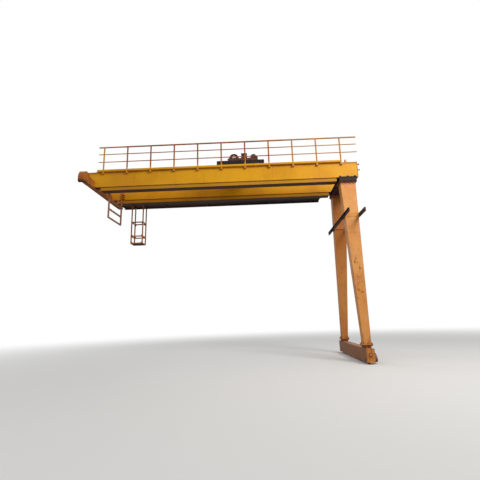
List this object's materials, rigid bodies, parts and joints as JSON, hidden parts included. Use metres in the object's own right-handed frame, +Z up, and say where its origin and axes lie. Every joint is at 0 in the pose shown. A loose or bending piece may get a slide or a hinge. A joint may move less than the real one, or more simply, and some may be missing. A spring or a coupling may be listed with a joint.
{
  "type": "double-girder semi-gantry crane",
  "caption": "Semi-gantry crane: box girders on splayed legs over a ground carriage at one end and a runway carriage at the other, with a hoist trolley.",
  "frame": {"origin": "middle of the ground carriage beam's flat underside, between its wheels", "axes": "+X along the bridge from the runway end to the legs, +Y across it from the near girder to the far one, +Z up"},
  "size_m": [11.96, 5.02, 9.338],
  "materials": {
    "girder_paint": "satin enamel, dusty",
    "carriage_paint": "satin enamel, worn",
    "leg_paint": "satin enamel, scuffed",
    "rail_paint": "satin enamel over primer",
    "dark_paint": "dark primer, dusty",
    "machine_paint": "matt black, greasy",
    "gear_paint": "red-brown machine paint",
    "steel": "rolled bright where wheels run",
    "rope": "greased wire rope",
    "buffer_rubber": "matt"
  },
  "bodies": {
    "root": {"near_girder": "girder_paint", "far_girder": "girder_paint", "trolley_rails": "steel", "trolley_stops": "girder_paint", "near_edge_strip": "girder_paint", "near_railing": "rail_paint", "far_platform": "dark_paint", "far_railing": "rail_paint", "end_bracket": "dark_paint", "runway_beam": "carriage_paint", "runway_wheel_box_near": "carriage_paint", "runway_wheel_box_far": "carriage_paint", "runway_drive": "machine_paint", "head_beam": "dark_paint", "near_leg": "leg_paint", "far_leg": "leg_paint", "leg_feet": "carriage_paint", "cross_ties": "dark_paint", "ground_beam": "carriage_paint", "ground_end_plates": "girder_paint", "ground_buffers": "buffer_rubber", "ground_drives": "carriage_paint", "guard_posts": "carriage_paint", "guard_rails": "carriage_paint", "basket_posts": "carriage_paint", "basket_rails": "carriage_paint", "basket_floor": "dark_paint"},
    "trolley": {"trolley_side_beams": "machine_paint", "trolley_cross_beams": "machine_paint", "trolley_deck": "machine_paint", "trolley_wheels": "steel", "trolley_drive": "machine_paint", "hoist_bed": "carriage_paint", "drum": "rope", "drum_bearing": "machine_paint", "gearbox": "gear_paint", "hoist_motor": "machine_paint", "hoist_box": "gear_paint", "upper_sheave": "machine_paint", "hoist_ropes": "rope", "hook_block": "machine_paint", "hook": "steel"},
    "runway_wheel_near": {"runway_wheel_near": "steel"},
    "runway_wheel_far": {"runway_wheel_far": "steel"},
    "ground_wheel_near": {"ground_wheel_near": "steel"},
    "ground_wheel_far": {"ground_wheel_far": "steel"}
  },
  "joints": [
    {"name": "trolley_travel", "type": "slide", "parent": "root", "child": "trolley", "axis": [1, 0, 0], "range_m": [-5.3, 3.55]},
    {"name": "runway_wheel_near_spin", "type": "hinge", "parent": "root", "child": "runway_wheel_near", "pos_m": [-11, -1.985, 7.476], "axis": [1, 0, 0], "continuous": true},
    {"name": "runway_wheel_far_spin", "type": "hinge", "parent": "root", "child": "runway_wheel_far", "pos_m": [-11, 1.985, 7.476], "axis": [1, 0, 0], "continuous": true},
    {"name": "ground_wheel_near_spin", "type": "hinge", "parent": "root", "child": "ground_wheel_near", "pos_m": [0, -2.2, 0.09], "axis": [1, 0, 0], "continuous": true},
    {"name": "ground_wheel_far_spin", "type": "hinge", "parent": "root", "child": "ground_wheel_far", "pos_m": [0, 2.2, 0.09], "axis": [1, 0, 0], "continuous": true}
  ]
}
